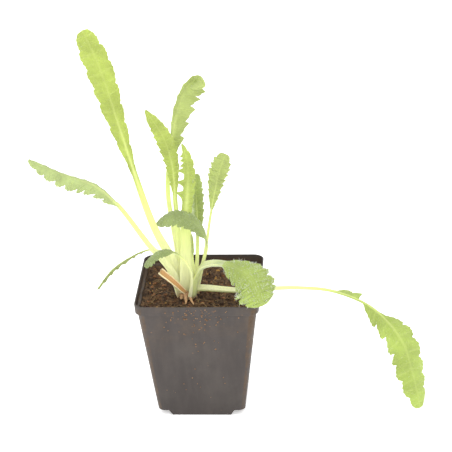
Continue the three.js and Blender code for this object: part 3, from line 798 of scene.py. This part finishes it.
def keep_inside(roots, directions, lengths, bend):
    """Drops the hairs that would reach outside the construction's box."""
    size = np.linalg.norm(directions, axis=1, keepdims=True)
    tips = roots + (directions + 0.6 * bend) / size * lengths[:, None]
    low, high = (np.array(corner) / MM for corner in CAD_BOUNDS)
    margin_kept = 0.6
    good = np.all((tips > low + margin_kept) & (tips < high - margin_kept), axis=1)
    return roots[good], directions[good], lengths[good], bend[good]


def make_leaves():
    hairs = hair_material()
    for index, leaf in enumerate(LEAVES):
        name = leaf["name"]
        rings, tissue, under, along, tip = leaf_surface(leaf, index)
        vertices, faces = capped(rings, tip)
        pad = lambda values, low, high: np.concatenate([values, [low, high]])
        attributes = {
            "tissue": np.vstack([tissue.reshape(-1, 4), [[0, 0, 0, 1], [1, 1, 0, 1]]]),
            "hoary": pad(tissue[..., 3].ravel(), 0.0, 0.0),
            "under": pad(under.ravel(), 0.5, 0.5),
            "along": pad(along.ravel(), 0.0, 1.0),
        }
        skin = leaf_material(name, leaf["blade"], leaf.get("foot", CREAM), LIME, leaf.get("rib_seen", 0.85))
        make_piece(name + "_surface", vertices, faces, skin, (name,), attributes)
        roots, directions, lengths, bend = keep_inside(*leaf_hairs(leaf, rings, tissue, index))
        radius = 0.12 if leaf["hairs"] > SHAGGY else 0.06
        vertices, faces = hair_strands(roots, directions, lengths, radius, bend)
        make_piece(name + "_hairs", vertices, faces, hairs)


# ---- Crown and dry tissue ----

CROWN = dict(centre=(-8, -13), outline=[[64, 1], [74, 2.6], [83, 4.6], [87, 6.4], [89, 5.8], [90.2, 3]])


def make_crown():
    rng = np.random.default_rng(41)
    levels, radii = np.array(CROWN["outline"], float).T
    z = np.linspace(levels[0], levels[-1], 90)
    radius = np.interp(z, levels, radii)
    turn = np.linspace(0, 2 * math.pi, 96, endpoint=False)
    ridges = 0.35 * np.sin(9 * turn + 2.0) + 0.2 * np.sin(23 * turn + 0.7)
    level, angle = np.meshgrid(z, turn, indexing="ij")
    rough = 0.25 * smooth_noise(rng, angle * 6, level, 1.6) + ridges[None, :]
    reach = np.maximum(radius[:, None] + rough * np.minimum(1, radius[:, None] / 3), 0.4)
    centre = CROWN["centre"]
    rings = np.stack([centre[0] + reach * np.cos(angle), centre[1] + reach * np.sin(angle), level], -1)
    vertices, faces = capped(rings)
    edge = pad_ends(np.clip(ridges[None, :] * np.ones_like(level), 0, 1).ravel())
    material = dry_material("woody_crown", (0.6, 0.46, 0.2), (0.36, 0.2, 0.08), (0.26, 0.12, 0.05))
    make_piece("crown_surface", vertices, faces, material, ("crown",), {"edge": edge})


def pad_ends(values):
    return np.concatenate([values, [0.5, 0.5]])


def strand(points, face, widths, thickness, rows, hollow, ragged, rng):
    """A strip of dry tissue. widths are at its ends, hollow sinks its upper side, ragged tears its far end."""
    rib = Rib(points)
    t = np.linspace(0, 1, rows)
    at, along, up, side = rib.frames(t, np.repeat([face], rows, 0).astype(float))
    half = np.interp(t, [0, 1], widths) / 2
    count = 28
    turn = np.linspace(0, 2 * math.pi, count, endpoint=False)
    x, y = np.cos(turn), np.sin(turn)
    wander = smooth_noise(rng, t[:, None] * 20 + 0 * x, x[None, :] * 4 + 0 * t[:, None], 1.5)
    across = half[:, None] * x[None, :] * (1 + 0.06 * wander)
    cup = hollow * (x[None, :] ** 2) * half[:, None]
    deep = thickness / 2 * y[None, :] * (1 + 0.2 * wander) + cup
    rings = at[:, None] + side[:, None] * across[..., None] + up[:, None] * deep[..., None]
    torn = ragged * smooth_noise(rng, x * 7, y * 3, 1.0)
    rings[-1] += along[-1] * torn[:, None]
    edge = np.clip(np.abs(x) ** 3 * 1.1, 0, 1)[None, :] * np.ones((rows, 1))
    return rings, edge


def make_cut_petiole(rng):
    """A dried leaf stalk cut off short: a gutter with pale edges and a brown inside, the brown part stain and
    part painted shade of the hollow.
    """
    rib = Rib([[-8.4, -17.4, 92.5], [-11.8, -19.5, 97.3], [-18.4, -21, 104.9], [-26.5, -21, 112.4]])
    rows = 110
    t = np.linspace(0, 1, rows)
    at, along, up, side = rib.frames(t, np.repeat([[0.75, -0.6, 0.35]], rows, 0))
    sweep_angle = math.radians(112)
    wall = np.linspace(-sweep_angle, sweep_angle, 23)
    radius = np.interp(t, [0, 0.3, 1], [1.5, 1.9, 2.3])[:, None]
    thick = np.interp(np.abs(wall) / sweep_angle, [0, 0.75, 1], [0.8, 0.65, 0.3])[None, :]
    wave = 0.12 * smooth_noise(rng, t[:, None] * 30, wall[None, :] * 2, 1.3)
    rings = []
    for reach in (radius + wave, radius + wave - thick):
        x, y = reach * np.sin(wall) * 1.15, -reach * np.cos(wall)
        rings.append(at[:, None] + side[:, None] * x[..., None] + up[:, None] * y[..., None])
    outer, inner = rings
    rings = np.concatenate([outer, inner[:, ::-1]], 1)
    ragged = 0.7 * smooth_noise(rng, np.arange(rings.shape[1]) * 0.7, np.zeros(rings.shape[1]), 1.0)
    rings[-1] += along[-1] * ragged[:, None]
    # The inside of the gutter gets the brown: a stain together with painted shade of its hollow.
    inside = np.concatenate([np.zeros(23), 1 - smoothstep(np.abs(wall), 1.35, 1.8)])
    edge = np.repeat(inside[None, :], rows, 0) * np.interp(t, [0, 0.15, 1], [0.7, 1, 0.9])[:, None]
    edge = np.maximum(edge, (1 - smoothstep(t, 0.0, 0.12))[:, None])
    vertices, faces = capped(rings[:, ::-1])
    material = dry_material("dried_petiole", (0.86, 0.78, 0.5), (0.72, 0.56, 0.28), (0.55, 0.27, 0.075),
                            (5.0, 5.0, 0.6))
    make_piece("cut_petiole_surface", vertices, faces, material, ("cut_petiole",),
               {"edge": pad_ends(edge[:, ::-1].ravel())})


def make_dry_parts():
    rng = np.random.default_rng(77)
    make_cut_petiole(rng)
    paths = [
        ([[-8.2, -18.6, 93.2], [-6.4, -20.4, 92.4], [-4.6, -24.6, 90.6], [-2.8, -28.4, 89.2]],
         (3.4, 0.7), 0.5),
        ([[-9.6, -18.2, 93.6], [-9.2, -20.6, 91.8], [-8.6, -24, 89.6], [-8.8, -26.6, 88.8]],
         (3.6, 1.1), 0.45),
        ([[-12, -17.4, 92.6], [-12.2, -19, 91.2], [-12.4, -20.8, 89.8]], (3.4, 1.6), 0.5),
    ]
    all_vertices, all_faces, all_edges = [], [], []
    for points, widths, thick in paths:
        rings, edge = strand(points, [-0.3, -0.5, 1], widths, thick, 40, 0.35, 0.6, rng)
        vertices, faces = capped(rings)
        base = sum(len(v) for v in all_vertices)
        all_vertices.append(vertices)
        all_faces += [tuple(i + base for i in f) for f in faces]
        all_edges.append(pad_ends(edge.ravel()))
    material = dry_material("dry_sheath", (0.5, 0.32, 0.15), (0.3, 0.15, 0.07), (0.22, 0.1, 0.05),
                            (4.0, 1.0, 4.0))
    make_piece("dry_sheath_surface", np.vstack(all_vertices), all_faces, material,
               ("dry_sheath",), {"edge": np.concatenate(all_edges)})


# ---- Pot ----

POT = dict(wall=1.0, floor=1.2, base=63.0, collar=7.5, step=1.6, lip=0.4, ledge=0.6, rim_corner=8.0,
           base_corner=5.0, foot=43.0, foot_height=4.0, foot_run=2.2, drain=1.6,
           drains=((24.2, 28.3), (28.3, 24.2), (28.3, 28.3)))
ARC_STEPS = 12


def pot_half(z):
    """Half the pot's outside width at a height."""
    rim = (POT_HIGH[0] - POT_LOW[0]) / 2
    ledge = POT_HIGH[2] - POT["collar"]
    below = POT["base"] / 2 + (rim - POT["step"] - POT["lip"] - POT["base"] / 2) * z / ledge
    above = rim - POT["lip"] + POT["lip"] * (z - ledge) / POT["collar"]
    return np.where(z <= ledge, below, above)


def side_places():
    """Places along a straight side from -1 to 1, two of them at each edge of the foot's slopes."""
    straight = POT["base"] / 2 - POT["base_corner"]
    inner = POT["foot"] / 2 / straight
    outer = (POT["foot"] / 2 + POT["foot_run"]) / straight
    half = [0.18, 0.36, 0.54, 0.68, inner - 0.03, inner, (inner + outer) / 2, outer, outer + 0.03]
    return [-place for place in reversed(half)] + [0.0] + half


def square_ring(half, radius):
    """Points round a square with round corners, in the plane."""
    points = []
    for corner in range(4):
        start = corner * math.pi / 2
        middle = start + math.pi / 4
        hub = (half - radius) * math.sqrt(2) * np.array([math.cos(middle), math.sin(middle)])
        for step in range(ARC_STEPS + 1):
            angle = start + step / ARC_STEPS * math.pi / 2
            points.append(hub + radius * np.array([math.cos(angle), math.sin(angle)]))
        turn = start + math.pi / 2
        outward = np.array([math.cos(turn), math.sin(turn)])
        onward = np.array([-math.sin(turn), math.cos(turn)])
        for place in side_places():
            points.append(half * outward + (half - radius) * place * onward)
    return np.array(points)


def pot_corner(z):
    return POT["base_corner"] + (POT["rim_corner"] - POT["base_corner"]) * z / POT_HIGH[2]


def foot_level(x, y, grow=0.0):
    """Height of the underside: flat on the plus-shaped foot, sloping up to the raised corners."""
    out = np.minimum(np.abs(x), np.abs(y)) - POT["foot"] / 2 + grow
    return np.clip(out / POT["foot_run"], 0, 1) * POT["foot_height"]


def pot_rings():
    height = POT_HIGH[2]
    ledge = height - POT["collar"]
    wall, floor = POT["wall"], POT["floor"]
    rings = []

    def flat_ring(half, radius, level):
        ring = square_ring(half, radius)
        return np.column_stack([ring, np.full(len(ring), level) if np.isscalar(level) else level(ring)])

    base = square_ring(float(pot_half(0.0)), pot_corner(0.0))
    for share in np.linspace(0.02, 0.985, 44):
        ring = base * share
        rings.append(np.column_stack([ring, foot_level(ring[:, 0], ring[:, 1])]))
    foot = foot_level(base[:, 0], base[:, 1])
    for share in np.concatenate([[0.004], np.linspace(0.012, 0.99, 24)]):
        z = foot + (ledge - foot) * share
        half = pot_half(z)
        corner = pot_corner(z)
        exact = np.array([square_ring(float(h), float(c))[i] for i, (h, c) in enumerate(zip(half, corner))])
        rings.append(np.column_stack([exact, z]))
    rim = float(pot_half(height))
    profile = [
        (float(pot_half(ledge)), ledge - 0.05), (float(pot_half(ledge)) + 0.25, ledge + 0.05),
        (rim - POT["lip"] - 0.25, ledge + POT["ledge"] * 0.8), (rim - POT["lip"], ledge + POT["ledge"] + 0.3),
        (rim - 0.25, ledge + 4.0), (rim - 0.05, height - 1.1), (rim, height - 0.6),
        (rim - 0.06, height - 0.25), (rim - 0.25, height - 0.05), (rim - 0.5, height),
        (rim - 0.8, height - 0.05),
        (rim - 0.97, height - 0.25), (rim - wall, height - 0.7), (rim - wall - 0.2, ledge + 3.5),
        (rim - POT["lip"] - wall, ledge + POT["ledge"] + 0.4), (float(pot_half(ledge)) - wall, ledge - 0.4),
    ]
    for half, z in profile:
        inside = max(0.0, rim - half)
        rings.append(flat_ring(half, max(pot_corner(z) - inside * 0.5, 3.0), z))
    inner = square_ring(float(pot_half(floor)) - wall, pot_corner(0.0) - wall)
    inner_floor = floor + foot_level(inner[:, 0], inner[:, 1], wall)
    for share in np.linspace(0.97, 0.02, 16):
        z = inner_floor + (ledge - 0.6 - inner_floor) * share
        half, corner = pot_half(z) - wall, pot_corner(z) - wall
        exact = np.array([square_ring(float(h), float(c))[i] for i, (h, c) in enumerate(zip(half, corner))])
        rings.append(np.column_stack([exact, z]))
    for share in np.linspace(0.98, 0.02, 36):
        ring = inner * share
        rings.append(np.column_stack([ring, floor + foot_level(ring[:, 0], ring[:, 1], wall)]))
    return np.array(rings)


def make_pot():
    vertices, faces = capped(pot_rings())
    heights = vertices[:, 2]
    level = POT_HIGH[2] - 1.5
    reach = np.maximum(np.abs(vertices[:, 0]), np.abs(vertices[:, 1]))
    inside = (reach < pot_half(heights) - 0.5) & (heights > 1.0) & (heights < level)
    pot = make_piece("pot_shell", vertices, faces, pot_material(), ("pot",), {"inside": inside})
    drill_vertices, drill_faces = [], []
    turn = np.linspace(0, 2 * math.pi, 32, endpoint=False)
    for sx, sy in ((1, 1), (-1, 1), (-1, -1), (1, -1)):
        for x, y in POT["drains"]:
            drain = POT["drain"]
            ring = np.column_stack([x * sx + drain * np.cos(turn), y * sy + drain * np.sin(turn)])
            levels = (0.6, POT["foot_height"] + POT["floor"] + 3)
            hole, hole_faces = capped([np.column_stack([ring, np.full(32, z)]) for z in levels])
            base = sum(len(v) for v in drill_vertices)
            drill_vertices.append(hole)
            drill_faces += [tuple(i + base for i in f) for f in hole_faces]
    mesh = bpy.data.meshes.new("drill")
    mesh.from_pydata((np.vstack(drill_vertices) * MM).tolist(), [], drill_faces)
    drill = bpy.data.objects.new("drill", mesh)
    bpy.context.scene.collection.objects.link(drill)
    cut = pot.modifiers.new("drains", "BOOLEAN")
    cut.object = drill
    cut.operation = "DIFFERENCE"
    cut.solver = "EXACT"
    bpy.context.view_layer.update()
    done = bpy.data.meshes.new_from_object(pot.evaluated_get(bpy.context.evaluated_depsgraph_get()))
    pot.modifiers.clear()
    pot.data = done
    bpy.data.objects.remove(drill)
    done.shade_smooth()
    sharpen(pot, 32)


# ---- Compost ----

COMPOST_LEVEL, COMPOST_RELIEF, COMPOST_GAP = 87.5, 0.8, 0.15
FLOOR_CLEAR = 5.7  # above the raised corners of the pot's floor


def compost_height(x, y, rng_seed=12):
    rng = np.random.default_rng(rng_seed)
    x, y = np.asarray(x, float), np.asarray(y, float)
    z = COMPOST_LEVEL + COMPOST_RELIEF * np.sin(x / 7 + y / 19) * np.cos(y / 8 - x / 23)
    for cell, height in ((9.0, 0.9), (3.6, 0.8), (1.7, 0.55), (0.8, 0.22)):
        z = z + height * smooth_noise(rng, x, y, cell)
    reach = np.hypot(x - CROWN["centre"][0], y - CROWN["centre"][1])
    return z + 1.3 * np.exp(-((reach / 11) ** 2))


def inner_half(z):
    """Half the compost's width at a height, kept to what fits below the collar."""
    below_ledge = min(z, POT_HIGH[2] - POT["collar"] - 1.0)
    return float(pot_half(below_ledge)) - POT["wall"] - COMPOST_GAP


def make_compost():
    top_half = inner_half(COMPOST_LEVEL)
    outline = square_ring(top_half, pot_corner(COMPOST_LEVEL) - POT["wall"])
    fine = 4
    steps = np.linspace(0, len(outline), len(outline) * fine, endpoint=False)
    closed = np.vstack([outline, outline[:1]])
    outline = np.column_stack([np.interp(steps, np.arange(len(closed)), closed[:, k]) for k in (0, 1)])
    rings = []
    for share in np.linspace(0.012, 1.0, 84):
        ring = outline * share
        rings.append(np.column_stack([ring, compost_height(ring[:, 0], ring[:, 1])]))
    for level in (80.0, 45.0, FLOOR_CLEAR):
        rings.append(np.column_stack([outline * inner_half(level) / top_half, np.full(len(outline), level)]))
    vertices, faces = capped(rings[::-1])
    material = compost_material("compost", (0.032, 0.018, 0.01), (0.15, 0.085, 0.039))
    make_piece("compost_surface", vertices, faces, material, ("compost",))


def scatter(rng, count, edge=2.0):
    """Random places on the compost, clear of the walls and of the crown."""
    reach = inner_half(COMPOST_LEVEL) - edge
    places = rng.uniform(-reach, reach, (count * 2, 2))
    away = np.hypot(places[:, 0] - CROWN["centre"][0], places[:, 1] - CROWN["centre"][1]) > 7.5
    return places[away][:count]


def crumb_mesh():
    ball = bmesh.new()
    bmesh.ops.create_icosphere(ball, subdivisions=2, radius=1.0)
    vertices = np.array([v.co[:] for v in ball.verts])
    faces = np.array([[v.index for v in f.verts] for f in ball.faces])
    ball.free()
    return vertices, faces


def random_turn(rng, flat):
    """A random rotation; flat keeps it near level."""
    spin = rng.uniform(0, 2 * math.pi)
    tilt = rng.normal(0, 0.25 if flat else 1.5)
    lean = rng.normal(0, 0.25 if flat else 1.5)
    turn = Matrix.Rotation(spin, 3, "Z") @ Matrix.Rotation(tilt, 3, "X") @ Matrix.Rotation(lean, 3, "Y")
    return np.array(turn)


def make_chips(name, material, count, sizes, squash, seed):
    """Irregular crumbs and chips of bark and peat, half sunk in the compost."""
    rng = np.random.default_rng(seed)
    ball, ball_faces = crumb_mesh()
    vertices, faces = [], []
    for x, y in scatter(rng, count):
        size = rng.uniform(*sizes) * rng.uniform(0.6, 1.0)
        bumps = 1 + 0.3 * np.sin(ball @ rng.normal(0, 2.2, 3) + rng.uniform(0, 6))
        bumps += 0.22 * np.sin(ball @ rng.normal(0, 4.5, 3) + rng.uniform(0, 6))
        shape = ball * bumps[:, None] * np.array([1.0, rng.uniform(0.45, 0.9), rng.uniform(*squash)]) * size
        shape = shape @ random_turn(rng, squash[1] < 0.6).T
        z = float(compost_height(x, y))
        faces.append(ball_faces + len(ball) * len(vertices))
        vertices.append(shape + (x, y, z + 0.15 * size))
    make_piece(name, np.vstack(vertices), np.vstack(faces).tolist(), material)


def make_fibres(name, material, count, seed):
    """Loose fibres that lie over the compost."""
    rng = np.random.default_rng(seed)
    vertices, faces = [], []
    turn = np.linspace(0, 2 * math.pi, 5, endpoint=False)
    for x, y in scatter(rng, count, 5.0):
        length, heading = rng.uniform(3, 11), rng.uniform(0, 2 * math.pi)
        bend, radius = rng.normal(0, 0.9), rng.uniform(0.1, 0.26)
        s = np.linspace(-0.5, 0.5, 8)
        direction = heading + bend * s * 2
        px = x + length * s * np.cos(direction)
        py = y + length * s * np.sin(direction)
        limit = inner_half(COMPOST_LEVEL) - 0.5
        px, py = np.clip(px, -limit, limit), np.clip(py, -limit, limit)
        pz = compost_height(px, py) + radius + 0.5 * rng.uniform(0, 1) * (1 - 4 * s**2)
        core = np.column_stack([px, py, pz])
        along = np.gradient(core, axis=0)
        along /= np.linalg.norm(along, axis=1, keepdims=True)
        side = np.cross(along, (0, 0, 1.0))
        side /= np.linalg.norm(side, axis=1, keepdims=True)
        up = np.cross(side, along)
        width = radius * (1 - (2 * np.abs(s)) ** 4 * 0.7)
        rings = core[:, None] + width[:, None, None] * (
            side[:, None] * np.cos(turn)[None, :, None] + up[:, None] * np.sin(turn)[None, :, None])
        tube, tube_faces = capped(rings)
        base = sum(len(v) for v in vertices)
        vertices.append(tube)
        faces += [tuple(i + base for i in f) for f in tube_faces]
    make_piece(name, np.vstack(vertices), faces, material)


def make_pot_crumbs():
    """Crumbs of compost stuck to the front wall, most of them below the middle of the rim."""
    rng = np.random.default_rng(31)
    ball, ball_faces = crumb_mesh()
    vertices, faces = [], []
    for index in range(100):
        scattered = index > 75
        x = rng.uniform(-30, 30) if scattered else rng.normal(1, 11)
        z = rng.uniform(12, 84) if scattered else POT_HIGH[2] - 2 - abs(rng.normal(0, 11))
        half = float(pot_half(z))
        if abs(x) > half - 9:
            continue
        size = rng.uniform(0.2, 0.5) * (1.5 if rng.uniform() < 0.1 else 1.0)
        bumps = 1 + 0.3 * np.sin(ball @ rng.normal(0, 3, 3) + rng.uniform(0, 6))
        shape = (ball * bumps[:, None] * size) @ random_turn(rng, False).T * (1, 0.5, 1)
        faces.append(ball_faces + len(ball) * len(vertices))
        vertices.append(shape + (x, -half - 0.05 * size, z))
    material = compost_material("stuck_crumbs", (0.14, 0.075, 0.04), (0.34, 0.2, 0.1), 900)
    make_piece("pot_crumbs", np.vstack(vertices), np.vstack(faces).tolist(), material)


def make_litter():
    make_chips("peat_crumbs", compost_material("peat", (0.02, 0.011, 0.007), (0.09, 0.05, 0.026)),
               560, (0.4, 1.1), (0.6, 1.0), 21)
    make_chips("bark_chips", compost_material("bark", (0.12, 0.05, 0.022), (0.32, 0.15, 0.06)),
               110, (0.8, 1.9), (0.25, 0.5), 22)
    make_chips("clay_grains", compost_material("clay", (0.34, 0.18, 0.05), (0.55, 0.3, 0.08)),
               16, (0.6, 1.1), (0.7, 1.0), 23)
    pale_fibre = compost_material("pale_fibre", (0.16, 0.1, 0.045), (0.38, 0.25, 0.12))
    dark_fibre = compost_material("dark_fibre", (0.07, 0.032, 0.014), (0.18, 0.085, 0.038))
    make_fibres("pale_fibres", pale_fibre, 150, 24)
    make_fibres("dark_fibres", dark_fibre, 240, 25)
    make_pot_crumbs()


# ---- Assembly ----

make_camera()
make_studio()
make_pot()
make_compost()
make_litter()
make_crown()
make_dry_parts()
make_leaves()
